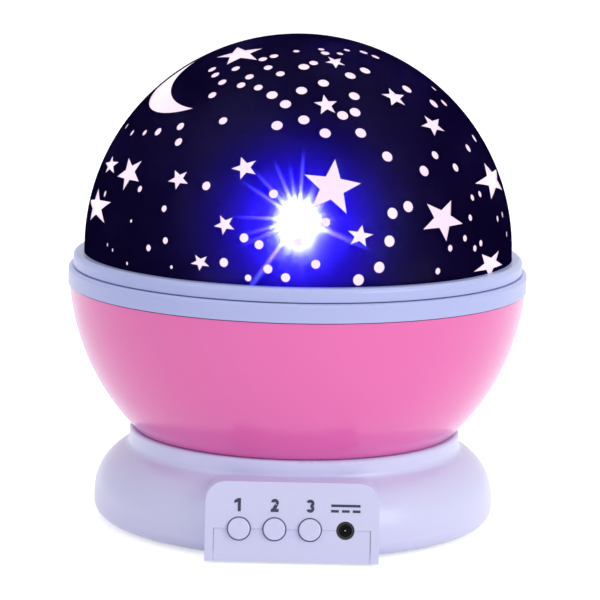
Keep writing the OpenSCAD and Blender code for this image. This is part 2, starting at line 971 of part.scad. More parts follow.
module bottom_cover() {
    front = door_front - door_play;
    back = door_back + door_play;
    side = door_x + door_play;
    color([0.83, 0.82, 0.94])
        difference() {
            union() {
                bar(cover_r, floor_gap, cover_top);
                tongue();
                intersection() {
                    bar(cover_r - 0.5, cover_top - eps, cover_top + 1.4);
                    union() {
                        span(-side - 1.9, side + 1.9, front - 2, back + 2, 0, big);
                        span(-8, 8, back, latch_y + 5.6, 0, big);
                    }
                }
                span(
                    -bay_x - bay_wall, bay_x + bay_wall,
                    bay_y - bay_half - bay_wall, bay_y + bay_half + bay_wall,
                    cover_top, bay_roof + 1.2
                );
                translate([0, latch_y, 0])
                    bar(3.6, cover_top - eps, cover_top + 5);
                for (t = screw_turns)
                    rotate([0, 0, t])
                        translate([screw_ring, 0, 0])
                            bar(4.4, cover_top - eps, cover_top + 1.9);
            }
            span(-side, side, front, back, 0, cover_top);
            span(-6.4, 6.4, back - 1, latch_y + 4.4, 0, cover_top);
            span(
                -bay_x, bay_x,
                bay_y - bay_half, bay_y + bay_half, 0, bay_roof
            );
            for (s = [-1, 1])
                span(
                    s * tab_x - tab_half - 0.5, s * tab_x + tab_half + 0.5,
                    front - 2.6, bay_y - bay_half + 1, cover_top - 1.2, cover_top + 1.6
                );
            translate([0, latch_y, 0])
                bar(1.7, 0, cover_top + 3.5);
            for (t = screw_turns)
                rotate([0, 0, t])
                    translate([screw_ring, 0, 0]) {
                        bar(3.1, 0, cover_top + 0.2);
                        bar(1.6, 0, deck_z);
                    }
            for (t = foot_turns)
                rotate([0, 0, t])
                    translate([foot_ring, 0, 0])
                        bar(foot_r + 0.1, 0, foot_top);
            control_holes();
        }
}

module battery_door() {
    color([0.83, 0.82, 0.94])
        difference() {
            union() {
                span(-door_x, door_x, door_front, door_back, door_z, door_z + door_t);
                span(-6, 6, door_back - 1, latch_y + 4, door_z, door_z + door_t);
                for (s = [-1, 1])
                    span(
                        s * tab_x - tab_half, s * tab_x + tab_half,
                        door_front - 2.4, door_front + 0.2,
                        cover_top - 0.85, cover_top + 0.15
                    );
            }
            translate([0, latch_y, 0]) {
                bar(2.4, 0, door_z + 0.9);
                bar(1.3, 0, 10);
            }
            for (i = [-4 : 4])
                span(
                    i * 2.4 - 0.5, i * 2.4 + 0.5,
                    door_back - 10, door_back - 4, 0, door_z + 0.4
                );
        }
}

module door_screw() {
    color([0.7, 0.72, 0.75])
        translate([0, latch_y, door_z + 0.9])
            screw_up(1.1, 3.2, 2.2, 0.8);
}

module rubber_feet() {
    color([0.25, 0.25, 0.27])
        for (t = foot_turns)
            rotate([0, 0, t])
                translate([foot_ring, 0, 0])
                    rotate_extrude()
                        union() {
                            square([foot_r - 0.6, foot_top]);
                            translate([0, 0.6])
                                square([foot_r, foot_top - 0.6]);
                            translate([foot_r - 0.6, 0.6])
                                circle(r = 0.6);
                        }
}

module case_screws() {
    color([0.7, 0.72, 0.75])
        for (t = screw_turns)
            rotate([0, 0, t])
                translate([screw_ring, 0, cover_top + 0.2])
                    screw_up(1.2, 8.5, 2.6, 1.6);
}

/* ---- power and controls ---- */

module cell() {
    rotate([0, 90, 0])
        translate([0, 0, -cell_len / 2]) {
            cylinder(r = cell_r, h = cell_len - 0.9);
            cylinder(r = 1.9, h = cell_len);
        }
}

module batteries() {
    color([0.2, 0.45, 0.3])
        for (i = [-1 : 1])
            translate([0, bay_y + i * cell_pitch, cell_z])
                rotate([0, 0, i == 0 ? 180 : 0])
                    cell();
}

module battery_springs() {
    wire = 0.35;
    color([0.8, 0.8, 0.78])
        for (i = [-1 : 1])
            translate([
                (i == 0 ? 1 : -1) * (bay_x - 0.5),
                bay_y + i * cell_pitch,
                cell_z
            ])
                rotate([0, (i == 0 ? -1 : 1) * 90, 0])
                    for (k = [0 : 3])
                        translate([0, 0, wire + k * wire * 1.6])
                            rotate_extrude()
                                translate([3.9 - k * 0.35, 0])
                                    circle(r = wire);
}

module battery_contacts() {
    plate = 0.4;
    color([0.82, 0.82, 0.8])
        for (side = [-1, 1], i = [-1 : 1])
            translate([
                side * (bay_x - plate / 2 - 0.05),
                bay_y + i * cell_pitch,
                cell_z
            ])
                cube([plate, 9.4, 9.4], center = true);
}

module control_board() {
    color([0.1, 0.45, 0.25])
        difference() {
            on_panel(0, 0, board_z)
                span(-board_half, board_half, board_low, board_high, 0, board_t);
            for (side = [-1, 1])
                on_panel(side * post_x, post_up, board_z - 1)
                    cylinder(r = 0.85, h = 5);
        }
}

module board_screws() {
    color([0.7, 0.72, 0.75])
        for (side = [-1, 1])
            on_panel(side * post_x, post_up, board_z)
                screw_up(0.65, 5, 1.5, 0.9);
}

module tact_switches() {
    low = board_z + board_t;
    color([0.15, 0.15, 0.17])
        for (i = [-1.5, -0.5, 0.5])
            on_panel(i * control_pitch, control_up, low)
                difference() {
                    span(
                        -switch_half, switch_half,
                        -switch_half, switch_half, 0, switch_h
                    );
                    bar(1.8, 1.6, 9);
                }
}

module button(place) {
    flange = -panel_wall - 0.6;
    foot = board_z + board_t + switch_h - 0.6;
    color([0.85, 0.85, 0.96])
        on_panel(place * control_pitch, control_up) {
            bar(button_r, flange, button_out - 0.5);
            bar(button_r - 0.5, 0, button_out);
            translate([0, 0, button_out - 0.5])
                rotate_extrude()
                    intersection() {
                        translate([button_r - 0.5, 0])
                            circle(r = 0.5);
                        square([button_r, 0.5]);
                    }
            bar(button_r + 1.1, flange - button_flange, flange);
            bar(1.4, foot, flange);
        }
}

module button_1() {
    button(-1.5);
}

module button_2() {
    button(-0.5);
}

module button_3() {
    button(0.5);
}

module dc_jack() {
    low = board_z + board_t;
    color([0.08, 0.08, 0.09])
        on_panel(jack_x, control_up)
            difference() {
                union() {
                    span(-3.8, 3.8, -3.4, 3.2, low, -panel_wall - 0.4);
                    bar(jack_nose, low + 1, -0.1);
                }
                bar(jack_r, -jack_mouth - 0.2, 5);
                bar(jack_r + 0.2, low + 1, -jack_mouth - 0.1);
            }
}

module dc_jack_pin() {
    color([0.85, 0.85, 0.8])
        on_panel(jack_x, control_up) {
            bar(0.6, board_z + board_t + 1, -jack_mouth - 0.9);
            translate([0, 0, -jack_mouth - 0.9])
                sphere(r = 0.6);
        }
}

/* ---- printed marks: plain numbers and the direct-current sign ---- */

module one_2d(h, w) {
    translate([-w / 2, -h / 2])
        square([w, h]);
    translate([-w / 2, h / 2])
        polygon([[0, 0], [0, -w * 1.2], [-w * 1.1, -w * 1.7], [-w * 1.1, -w * 0.7]]);
}

module arc_2d(outer, w, from, to) {
    intersection() {
        difference() {
            circle(r = outer);
            circle(r = outer - w);
        }
        polygon([
            [0, 0],
            for (k = [0 : 4])
                let (a = from + (to - from) * k / 4)
                outer * 1.6 * [cos(a), sin(a)]
        ]);
    }
}

module two_2d(h, w) {
    r = h * 0.3;
    translate([0, h / 2 - r])
        arc_2d(r, w, -40, 170);
    polygon([
        [-r, -h / 2 + w * 0.4], [-r + w * 1.5, -h / 2 + w * 0.4],
        [r * 0.78, h / 2 - r * 1.64], [r * 0.78 - w, h / 2 - r * 1.34]
    ]);
    translate([-r, -h / 2])
        square([2 * r, w]);
}

module three_2d(h, w) {
    r = (h + w) / 4;
    for (side = [-1, 1])
        translate([0, side * (r - w / 2)])
            arc_2d(r, w, side > 0 ? -90 : 90, side > 0 ? 160 : -160);
}

module direct_sign_2d() {
    translate([-4, 0.5])
        square([8, 0.7]);
    for (i = [-1 : 1])
        translate([i * 2.95 - 1.05, -1])
            square([2.1, 0.7]);
}

module panel_marks() {
    h = 3.6;
    w = 0.85;
    up = control_up + 6.5;
    thick = 0.08;
    color([0.3, 0.31, 0.42]) {
        on_panel(-1.5 * control_pitch, up)
            linear_extrude(height = thick)
                one_2d(h, w);
        on_panel(-0.5 * control_pitch, up)
            linear_extrude(height = thick)
                two_2d(h, w);
        on_panel(0.5 * control_pitch, up)
            linear_extrude(height = thick)
                three_2d(h, w);
        on_panel(jack_x, up - 0.6)
            linear_extrude(height = thick)
                direct_sign_2d();
    }
}

/* ---- nodes ---- */

base_shell();
bottom_cover();
battery_door();
door_screw();
rubber_feet();
case_screws();
batteries();
battery_springs();
battery_contacts();
control_board();
board_screws();
tact_switches();
button_1();
button_2();
button_3();
dc_jack();
dc_jack_pin();
panel_marks();
motor();
motor_screws();
pinion();
spindle();
spindle_screws();
thrust_washer();
retaining_ring();
retaining_screws();
bowl_gear();
bowl();
rim_ring();
light_tray();
tray_screws();
lamp_column();
lamp_head();
lamp_wires();
led_board();
led_white();
led_red();
led_green();
led_blue();
dome_ring();
dome_shell();
dome_skin();
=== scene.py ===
import json
import math

import bmesh
import bpy
import numpy as np
from mathutils import Matrix, Vector


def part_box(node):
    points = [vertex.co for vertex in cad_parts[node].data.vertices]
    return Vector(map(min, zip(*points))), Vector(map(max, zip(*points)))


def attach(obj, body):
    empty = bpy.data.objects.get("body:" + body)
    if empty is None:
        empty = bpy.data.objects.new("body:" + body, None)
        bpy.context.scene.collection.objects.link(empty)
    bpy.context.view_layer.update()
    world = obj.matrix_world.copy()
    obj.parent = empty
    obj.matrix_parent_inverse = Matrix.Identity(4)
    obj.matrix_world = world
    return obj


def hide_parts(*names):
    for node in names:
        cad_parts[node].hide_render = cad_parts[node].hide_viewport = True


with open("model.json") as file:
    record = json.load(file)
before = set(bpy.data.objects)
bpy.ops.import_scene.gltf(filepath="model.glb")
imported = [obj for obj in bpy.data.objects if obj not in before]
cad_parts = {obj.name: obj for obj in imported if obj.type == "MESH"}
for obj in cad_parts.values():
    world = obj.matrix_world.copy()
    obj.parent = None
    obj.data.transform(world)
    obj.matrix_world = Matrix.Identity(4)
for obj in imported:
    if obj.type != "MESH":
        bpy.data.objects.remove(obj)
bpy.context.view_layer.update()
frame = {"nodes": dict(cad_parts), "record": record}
print("frame loaded:", len(frame["nodes"]), "nodes")

mm = 0.001


def toLinear(hexColor):
    # sRGB to linear: c/12.92 below 0.04045, else ((c + 0.055)/1.055)^2.4
    parts = np.array([int(hexColor[i:i + 2], 16) / 255 for i in (1, 3, 5)])
    low = parts / 12.92
    high = ((parts + 0.055) / 1.055) ** 2.4
    return (*np.where(parts <= 0.04045, low, high).tolist(), 1.0)


def addNode(tree, kind, settings=None, links=None):
    # settings go to sockets by name or number, or to the node's own properties
    node = tree.nodes.new("ShaderNode" + kind)
    for key, value in (settings or {}).items():
        if isinstance(key, int) or key in node.inputs:
            node.inputs[key].default_value = value
        else:
            setattr(node, key, value)
    for key, source in (links or {}).items():
        tree.links.new(source, node.inputs[key])
    return node


def newMaterial(name):
    material = bpy.data.materials.new(name)
    material.use_nodes = True
    tree = material.node_tree
    tree.nodes.clear()
    return material, tree, addNode(tree, "OutputMaterial")


def dress(nodeName, material):
    for slot in frame["nodes"][nodeName].material_slots:
        slot.material = material


def gridFaces(index):
    # index numbers the points, rows x columns; each cell of the grid becomes one face
    corners = [index[:-1, :-1], index[:-1, 1:], index[1:, 1:], index[1:, :-1]]
    return np.stack(corners, axis=-1).reshape(-1, 4).tolist()


def addPiece(name, mesh, body, material):
    piece = bpy.data.objects.new(name, mesh)
    bpy.context.scene.collection.objects.link(piece)
    piece.data.materials.append(material)
    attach(piece, body)
    return piece


camera = {
    "distance": 863.7,  # from the turning axis, along the floor
    "height": 209.87,
    "aimX": 0.85,
    "aimZ": 63.3,
    "rollDegrees": 1.245,  # the lens turned against the clock, so the lamp leans with it
    "focalLength": 182.1,
    "sensorWidth": 36.0,
}


def makeCamera(v):
    place = Vector((0, -v["distance"], v["height"])) * mm
    aim = Vector((v["aimX"], 0, v["aimZ"])) * mm
    data = bpy.data.cameras.new("lensView")
    data.lens = v["focalLength"]
    data.sensor_width = v["sensorWidth"]
    data.clip_end = 50
    eye = bpy.data.objects.new("lensView", data)
    bpy.context.scene.collection.objects.link(eye)
    turn = (aim - place).to_track_quat("-Z", "Y").to_matrix().to_4x4()
    roll = Matrix.Rotation(math.radians(v["rollDegrees"]), 4, "Z")
    eye.matrix_world = Matrix.Translation(place) @ turn @ roll
    bpy.context.scene.camera = eye


makeCamera(camera)
print("camera placed")


studio = {
    "floorSize": 8.0,
    "floorColor": "#f4f4f6",
    "floorWhite": 0.56,  # added where the eye, a mirror or a lens looks, so that the paper shows white
    "worldColor": "#ffffff",
    "worldLight": 0.55,
    "seenWhite": 1.0,
    "lampAim": (0.0, 0.0, 0.06),
}
softboxes = [
    {"name": "keySoftbox", "place": (0.95, -0.85, 0.5), "power": 6.4, "size": 0.8, "color": "#fffdfb"},
    {"name": "fillSoftbox", "place": (-0.9, -0.75, 0.55), "power": 1.9, "size": 0.9, "color": "#f4efff"},
    {"name": "topSoftbox", "place": (0.1, 0.25, 1.1), "power": 4.8, "size": 1.2, "color": "#ffffff"},
]


def seenByEye(tree):
    # 1 for camera, mirror and lens rays, 0 for the rays that carry light
    rays = addNode(tree, "LightPath")
    seen = addNode(tree, "Math", {"operation": "MAXIMUM"},
                   {0: rays.outputs["Is Camera Ray"], 1: rays.outputs["Is Glossy Ray"]})
    return addNode(tree, "Math", {"operation": "MAXIMUM"},
                   {0: seen.outputs[0], 1: rays.outputs["Is Transmission Ray"]}).outputs[0]


def makeWorld(v):
    world = bpy.data.worlds.new("softRoom")
    bpy.context.scene.world = world
    world.use_nodes = True
    tree = world.node_tree
    tree.nodes.clear()
    strength = addNode(tree, "MapRange", {"To Min": v["worldLight"], "To Max": v["seenWhite"]},
                       {"Value": seenByEye(tree)})
    sky = addNode(tree, "Background", {"Color": toLinear(v["worldColor"])},
                  {"Strength": strength.outputs[0]})
    out = addNode(tree, "OutputWorld")
    tree.links.new(sky.outputs[0], out.inputs["Surface"])


def makeFloor(v):
    # a flat square, z = 0 all over
    half = v["floorSize"] / 2
    steps = np.linspace(-half, half, 2)
    x, y = np.meshgrid(steps, steps)
    points = np.stack([x, y, np.zeros_like(x)], axis=-1).reshape(-1, 3).tolist()
    mesh = bpy.data.meshes.new("floor")
    mesh.from_pydata(points, [], gridFaces(np.arange(len(points)).reshape(x.shape)))
    floor = bpy.data.objects.new("floor", mesh)
    bpy.context.scene.collection.objects.link(floor)
    material, tree, out = newMaterial("paperSweep")
    lift = addNode(tree, "MapRange", {"To Min": 0.0, "To Max": v["floorWhite"]}, {"Value": seenByEye(tree)})
    paint = addNode(tree, "BsdfPrincipled", {
        "Base Color": toLinear(v["floorColor"]), "Roughness": 1.0, "Specular IOR Level": 0.0,
        "Emission Color": (1, 1, 1, 1)}, {"Emission Strength": lift.outputs[0]})
    tree.links.new(paint.outputs[0], out.inputs["Surface"])
    mesh.materials.append(material)


def addSoftbox(v, aim):
    data = bpy.data.lights.new(v["name"], "AREA")
    data.shape = "DISK"
    data.size = v["size"]
    data.energy = v["power"]
    data.color = toLinear(v["color"])[:3]
    box = bpy.data.objects.new(v["name"], data)
    bpy.context.scene.collection.objects.link(box)
    toAim = Vector(aim) - Vector(v["place"])
    box.matrix_world = (Matrix.Translation(Vector(v["place"]))
                        @ toAim.to_track_quat("-Z", "Y").to_matrix().to_4x4())


makeWorld(studio)
makeFloor(studio)
for softbox in softboxes:
    addSoftbox(softbox, studio["lampAim"])
bpy.context.scene.view_settings.view_transform = "Standard"
print("floor, world and lamps made")


def moulded(name, v):
    # a moulded skin: fine grain, faint flow patches in the colour and a roughness that drifts
    material, tree, out = newMaterial(name)
    place = addNode(tree, "TexCoord").outputs["Object"]
    flow = addNode(tree, "TexNoise", {"Scale": 1 / (v["flowSize"] * mm), "Detail": 3.0}, {"Vector": place})
    smudge = addNode(tree, "TexNoise", {"Scale": 1 / (v["smudgeSize"] * mm), "Detail": 5.0,
                                        "Distortion": 0.6}, {"Vector": place})
    grain = addNode(tree, "TexNoise", {"Scale": 1 / (v["grainSize"] * mm), "Detail": 2.0}, {"Vector": place})
    shade = addNode(tree, "MapRange", {"To Min": 1 - v["flowDepth"], "To Max": 1 + v["flowDepth"]},
                    {"Value": flow.outputs[0]})
    color = addNode(tree, "HueSaturation", {"Color": toLinear(v["color"])}, {"Value": shade.outputs[0]})
    rough = addNode(tree, "MapRange", {"To Min": v["roughness"] - v["roughDrift"],
                                       "To Max": v["roughness"] + v["roughDrift"]},
                    {"Value": smudge.outputs[0]})
    bump = addNode(tree, "Bump", {"Strength": v["grainStrength"], "Distance": v["grainHeight"] * mm},
                   {"Height": grain.outputs[0]})
    shader = addNode(tree, "BsdfPrincipled", v.get("more", {}),
                     {"Base Color": color.outputs[0], "Roughness": rough.outputs[0],
                      "Normal": bump.outputs[0]})
    tree.links.new(shader.outputs[0], out.inputs["Surface"])
    return material


glossMould = {"flowSize": 45, "flowDepth": 0.012, "smudgeSize": 12, "roughDrift": 0.03,
              "grainSize": 0.9, "grainHeight": 0.012, "grainStrength": 0.25}
satinMould = {"flowSize": 30, "flowDepth": 0.015, "smudgeSize": 9, "roughDrift": 0.05,
              "grainSize": 0.5, "grainHeight": 0.02, "grainStrength": 0.4}

# injection-moulded ABS and its kin: an even colour, a soft shine and a barely seen grain
finishes = {
    "base_plastic": moulded("paleLilacAbs", {
        **glossMould, "color": "#d1d5f5", "roughness": 0.3,
        "more": {"Subsurface Weight": 0.08, "Subsurface Radius": (0.004, 0.004, 0.006)}}),
    "cover_plastic": moulded("paleLilacAbsCover", {
        **satinMould, "color": "#d0d4f4", "roughness": 0.42}),
    "pink_plastic": moulded("pinkAbs", {
        **glossMould, "color": "#ea66b2", "roughness": 0.2,
        "more": {"Coat Weight": 0.25, "Coat Roughness": 0.06, "Sheen Weight": 0.42,
                 "Sheen Roughness": 0.35, "Sheen Tint": toLinear("#ccccff")}}),
    "ring_plastic": moulded("blueGreyAbs", {**glossMould, "color": "#b2bbeb", "roughness": 0.32}),
    "white_plastic": moulded("whiteAbs", {**satinMould, "color": "#f1f1f5", "roughness": 0.42}),
    "acetal": moulded("naturalAcetal", {**satinMould, "color": "#ece8d8", "roughness": 0.33}),
    "black_plastic": moulded("blackNylon", {**satinMould, "color": "#17171b", "roughness": 0.4}),
    "foot_rubber": moulded("greyRubber", {
        **satinMould, "color": "#3f3f45", "roughness": 0.78, "grainSize": 0.35,
        "grainHeight": 0.05, "grainStrength": 0.7}),
    "wire_jacket": moulded("redVinyl", {**satinMould, "color": "#b8202a", "roughness": 0.35}),
    "mark_ink": moulded("padPrintedInk", {
        **satinMould, "color": "#2f3050", "roughness": 0.55, "flowSize": 2, "flowDepth": 0.06}),
}


rubbedMetal = {"lineStrength": 0.3, "toneDrift": 0.05}


def plated(name, v):
    # plated or pressed metal: fine rubbed lines across the part and a roughness that drifts
    material, tree, out = newMaterial(name)
    place = addNode(tree, "TexCoord").outputs["Object"]
    stretched = addNode(tree, "Mapping", {"Scale": v["lineStretch"]}, {"Vector": place})
    lines = addNode(tree, "TexNoise", {"Scale": 1 / (v["lineSize"] * mm), "Detail": 4.0},
                    {"Vector": stretched.outputs[0]})
    rough = addNode(tree, "MapRange", {"To Min": v["roughness"] - v["roughDrift"],
                                       "To Max": v["roughness"] + v["roughDrift"]},
                    {"Value": lines.outputs[0]})
    bump = addNode(tree, "Bump", {"Strength": v["lineStrength"], "Distance": v["lineDepth"] * mm},
                   {"Height": lines.outputs[0]})
    shade = addNode(tree, "MapRange", {"To Min": 1 - v["toneDrift"], "To Max": 1 + v["toneDrift"]},
                    {"Value": lines.outputs[0]})
    tone = addNode(tree, "HueSaturation", {"Color": toLinear(v["color"])}, {"Value": shade.outputs[0]})
    shader = addNode(tree, "BsdfPrincipled", {"Metallic": 1.0}, {
        "Base Color": tone.outputs[0], "Roughness": rough.outputs[0], "Normal": bump.outputs[0]})
    tree.links.new(shader.outputs[0], out.inputs["Surface"])
    return material


finishes.update({
    "screw_steel": plated("zincPlatedSteel", {
        **rubbedMetal, "color": "#c4c7cc", "roughness": 0.28, "roughDrift": 0.08, "lineSize": 0.6,
        "lineDepth": 0.01, "lineStretch": (1, 1, 1)}),
    "motor_steel": plated("drawnMotorSteel", {
        **rubbedMetal, "color": "#b9bcc1", "roughness": 0.34, "roughDrift": 0.08, "lineSize": 1.2,
        "lineDepth": 0.01, "lineStretch": (1, 1, 12)}),
    "contact_nickel": plated("nickelPlatedStrip", {
        **rubbedMetal, "color": "#cfccc2", "roughness": 0.2, "roughDrift": 0.06, "lineSize": 0.8,
        "lineDepth": 0.008, "lineStretch": (1, 8, 1)}),
})


maskedBoard = {"trackStrength": 0.4, "copperHeight": 0.035, "weaveSize": 0.8,
               "smoothest": 0.24, "roughest": 0.36}


def laminate(name, v):
    # fibreglass board: the mask's colour, with copper tracks that stand up under it
    material, tree, out = newMaterial(name)
    place = addNode(tree, "TexCoord").outputs["Object"]
    tracks = addNode(tree, "TexBrick", {
        "Scale": 1.0, "Brick Width": v["trackPitch"] * 4 * mm, "Row Height": v["trackPitch"] * mm,
        "Mortar Size": v["trackWidth"] / 2 * mm, "Mortar Smooth": 0.2,
        "Color1": toLinear(v["maskColor"]), "Color2": toLinear(v["maskColor"]),
        "Mortar": toLinear(v["trackColor"])}, {"Vector": place})
    bump = addNode(tree, "Bump", {"Strength": v["trackStrength"], "Distance": v["copperHeight"] * mm},
                   {"Height": tracks.outputs["Fac"]})
    weave = addNode(tree, "TexNoise", {"Scale": 1 / (v["weaveSize"] * mm), "Detail": 2.0}, {"Vector": place})
    rough = addNode(tree, "MapRange", {"To Min": v["smoothest"], "To Max": v["roughest"]},
                    {"Value": weave.outputs[0]})
    shader = addNode(tree, "BsdfPrincipled", None, {
        "Base Color": tracks.outputs["Color"], "Roughness": rough.outputs[0],
        "Normal": bump.outputs[0]})
    tree.links.new(shader.outputs[0], out.inputs["Surface"])
    return material


finishes["board_laminate"] = laminate("greenMaskedLaminate", {
    **maskedBoard, "maskColor": "#12603a", "trackColor": "#2b8a50", "trackPitch": 1.9,
    "trackWidth": 0.45})
finishes["lamp_laminate"] = laminate("whiteMaskedLaminate", {
    **maskedBoard, "maskColor": "#eef0ee", "trackColor": "#dfe2df", "trackPitch": 2.4,
    "trackWidth": 0.5})


def cellSleeve(v):
    # shrunk printed sleeve: one colour, with a ring of a second colour near each end
    material, tree, out = newMaterial("shrunkCellSleeve")
    place = addNode(tree, "TexCoord").outputs["Object"]
    along = addNode(tree, "SeparateXYZ", None, {0: place}).outputs["X"]
    reach = addNode(tree, "Math", {"operation": "ABSOLUTE"}, {0: along})
    inRing = addNode(tree, "Math", {"operation": "COMPARE", 1: v["ringAt"] * mm,
                                    2: v["ringWidth"] / 2 * mm}, {0: reach.outputs[0]})
    color = addNode(tree, "Mix", {"data_type": "RGBA", 6: toLinear(v["sleeveColor"]),
                                  7: toLinear(v["ringColor"])}, {0: inRing.outputs[0]})
    wrinkle = addNode(tree, "TexNoise", {"Scale": 1 / (v["wrinkleSize"] * mm), "Detail": 3.0},
                      {"Vector": place})
    rough = addNode(tree, "MapRange", {"To Min": v["smoothest"], "To Max": v["roughest"]},
                    {"Value": wrinkle.outputs[0]})
    bump = addNode(tree, "Bump", {"Strength": v["wrinkleStrength"], "Distance": v["wrinkleHeight"] * mm},
                   {"Height": wrinkle.outputs[0]})
    shader = addNode(tree, "BsdfPrincipled", {"Coat Weight": 0.3}, {
        "Base Color": color.outputs[2], "Roughness": rough.outputs[0], "Normal": bump.outputs[0]})
    tree.links.new(shader.outputs[0], out.inputs["Surface"])
    return material


finishes["cell_sleeve"] = cellSleeve({
    "sleeveColor": "#1d6e46", "ringColor": "#c8b070", "ringAt": 18, "ringWidth": 3,
    "wrinkleSize": 3, "wrinkleStrength": 0.3, "wrinkleHeight": 0.03, "smoothest": 0.2, "roughest": 0.3})

for part in frame["record"]["subparts"]:
    if part["material_slot"] in finishes:
        dress(part["node"], finishes[part["material_slot"]])
print("finishes set:", len(finishes))


cellSpring = {
    "turns": 4.5,
    "wireR": 0.26,
    "footR": 3.9,  # at the plate
    "tipR": 2.4,  # at the cell
    "reach": 2.3,  # from the plate to the cell
    "flatEnd": 0.12,  # share of the wire at each end that lies flat
    "alongTurn": 96,
    "aroundWire": 14,
}


def springTube(v, root, way, length):
    # centre line: root + way (wireR + (length - 2 wireR) rise(s)) + R (0, cos a, sin a),
    # with a = 2 pi turns s and R from footR to tipR
    # tube: the centre line + wireR (outward cos b + way sin b), s and b over the grid
    s = np.linspace(0, 1, int(v["turns"] * v["alongTurn"]))[:, None]
    b = np.linspace(0, 2 * np.pi, v["aroundWire"], endpoint=False)[None, :]
    a = 2 * np.pi * v["turns"] * s
    rise = np.clip((s - v["flatEnd"]) / (1 - 2 * v["flatEnd"]), 0, 1)  # 0 and 1 on the flat ends
    radius = v["footR"] + (v["tipR"] - v["footR"]) * s + v["wireR"] * np.cos(b)
    x = root[0] + way * (v["wireR"] + (length - 2 * v["wireR"]) * rise + v["wireR"] * np.sin(b))
    points = np.stack([x, root[1] + radius * np.cos(a), root[2] + radius * np.sin(a)], axis=-1)
    return points * mm


def addCellSprings(v):
    # one coned spring for each cell, wound from a foot on its plate to a tip at the cell
    low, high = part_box("battery_springs")
    cellLow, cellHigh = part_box("batteries")
    cellWide = cellHigh.z - cellLow.z
    pitch = (cellHigh.y - cellLow.y - cellWide) / 2
    middle = (low + high) / 2
    parts = []
    for step in (-1, 0, 1):
        side = 1 if step == 0 else -1
        root = ((high.x if side > 0 else low.x) / mm, (middle.y + step * pitch) / mm, middle.z / mm)
        parts.append(springTube(v, root, -side, v["reach"]))
    mesh = bpy.data.meshes.new("cellSprings")
    points, faces = [], []
    for grid in parts:
        rows, columns = grid.shape[:2]
        index = np.arange(rows * columns).reshape(rows, columns) + len(points)
        faces += gridFaces(np.hstack([index, index[:, :1]]))  # the tube closes on its first column
        faces += [index[0, ::-1].tolist(), index[-1].tolist()]
        points += grid.reshape(-1, 3).tolist()
    mesh.from_pydata(points, [], faces)
    shell = bmesh.new()
    shell.from_mesh(mesh)
    bmesh.ops.recalc_face_normals(shell, faces=shell.faces)
    shell.to_mesh(mesh)
    shell.free()
    for face in mesh.polygons:
        face.use_smooth = True
    piece = addPiece("cell_springs", mesh, "base", finishes["contact_nickel"])
    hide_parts("battery_springs")


addCellSprings(cellSpring)
print("cell springs wound")


lamp = {
    "glowColor": "#e6ecff",
    "glowStrength": 1100.0,
    "ledPower": 0.02,
    "ledSize": 5.0,
    "ledZ": 85.0,
}


pouredEpoxy = {
    "swirlSize": 1.6,
    "swirlTwist": 0.8,
    "dimmest": 0.84,  # of its strength, where a swirl is darkest
    "brightest": 1.02,
    "toneDrift": 0.06,
    "smoothest": 0.08,
    "roughest": 0.16,
    "swirlStrength": 0.2,
    "swirlHeight": 0.01,
}


def litEpoxy(name, color, strength, v=pouredEpoxy):
    # cast epoxy lens over a chip that lights it from inside: faint swirls from the pour
    material, tree, out = newMaterial(name)
    place = addNode(tree, "TexCoord").outputs["Object"]
    swirl = addNode(tree, "TexNoise", {"Scale": 1 / (v["swirlSize"] * mm), "Detail": 2.0,
                                        "Distortion": v["swirlTwist"]}, {"Vector": place}).outputs[0]
    light = addNode(tree, "MapRange", {"To Min": strength * v["dimmest"],
                                       "To Max": strength * v["brightest"]}, {"Value": swirl})
    shade = addNode(tree, "MapRange", {"To Min": 1 - v["toneDrift"], "To Max": 1 + v["toneDrift"]},
                    {"Value": swirl})
    paint = addNode(tree, "HueSaturation", {"Color": toLinear(color)}, {"Value": shade.outputs[0]})
    rough = addNode(tree, "MapRange", {"To Min": v["smoothest"], "To Max": v["roughest"]},
                    {"Value": swirl})
    bump = addNode(tree, "Bump", {"Strength": v["swirlStrength"], "Distance": v["swirlHeight"] * mm},
                   {"Height": swirl})
    shader = addNode(tree, "BsdfPrincipled", {"Emission Color": toLinear(color)}, {
        "Base Color": paint.outputs[0], "Roughness": rough.outputs[0],
        "Emission Strength": light.outputs[0], "Normal": bump.outputs[0]})
    tree.links.new(shader.outputs[0], out.inputs["Surface"])
    return material


dress("led_white", litEpoxy("litWhiteEpoxy", lamp["glowColor"], lamp["glowStrength"]))
# the lamp is as strong as it looks to the film alone, so that the tray keeps its colour with the dome off
lampReach = bpy.data.collections.new("lampReach")
lampReach.objects.link(frame["nodes"]["dome_skin"])
frame["nodes"]["led_white"].light_linking.receiver_collection = lampReach
colourLamps = {
    "led_red": ("redEpoxy", "#e05050", 0.3),
    "led_green": ("greenEpoxy", "#50d070", 0.3),
    "led_blue": ("blueEpoxy", "#5060f0", 0.8),
}
for node, look in colourLamps.items():
    dress(node, litEpoxy(*look))


def addBulb(name, z, power, color, radius):
    data = bpy.data.lights.new(name, "POINT")
    data.energy = power
    data.color = toLinear(color)[:3]
    data.shadow_soft_size = radius * mm
    bulb = bpy.data.objects.new(name, data)
    bpy.context.scene.collection.objects.link(bulb)
    bulb.location = (0, 0, z * mm)


addBulb("ledGlow", lamp["ledZ"], lamp["ledPower"], lamp["glowColor"], lamp["ledSize"])
print("lamp lit")

